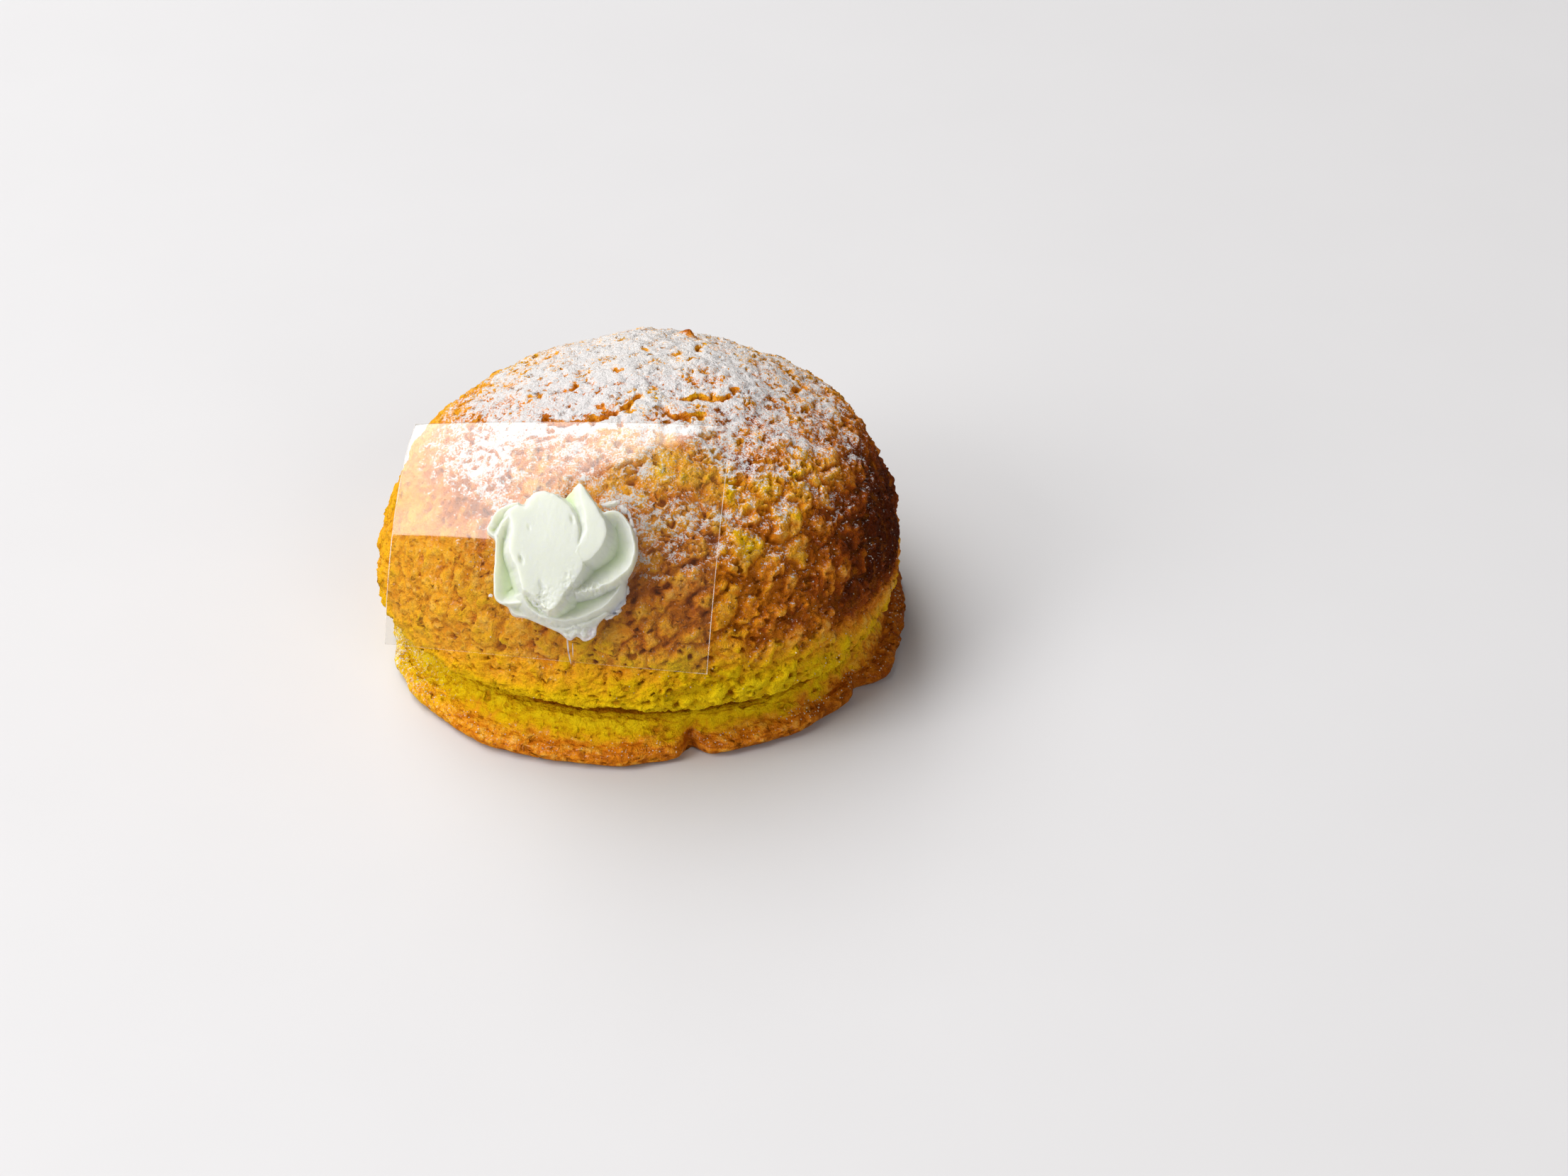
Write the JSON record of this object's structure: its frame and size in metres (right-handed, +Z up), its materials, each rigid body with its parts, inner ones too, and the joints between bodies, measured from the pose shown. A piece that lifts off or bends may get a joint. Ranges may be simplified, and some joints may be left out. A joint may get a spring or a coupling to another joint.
{
  "type": "melon pan bun",
  "caption": "Round baked bun with a domed sugared biscuit crust on a thin spread brim, a clear sheet leant on its front and a piped cream rosette.",
  "frame": {"origin": "middle of the flat base, on the dome's axis", "axes": "+Z up, -Y towards the front, where the cream rosette and the clear sheet are, +X to the right seen from the front"},
  "size_m": [0.1112, 0.1185, 0.0596],
  "materials": {
    "crust": "baked biscuit crust, golden brown to yellow-green, dusted with white sugar",
    "clear_sheet": "clear glossy stiff plastic film",
    "cream": "soft pale green whipped cream, satin"
  },
  "bodies": {
    "root": {"bun": "crust", "film": "clear_sheet", "rosette": "cream"}
  },
  "joints": []
}
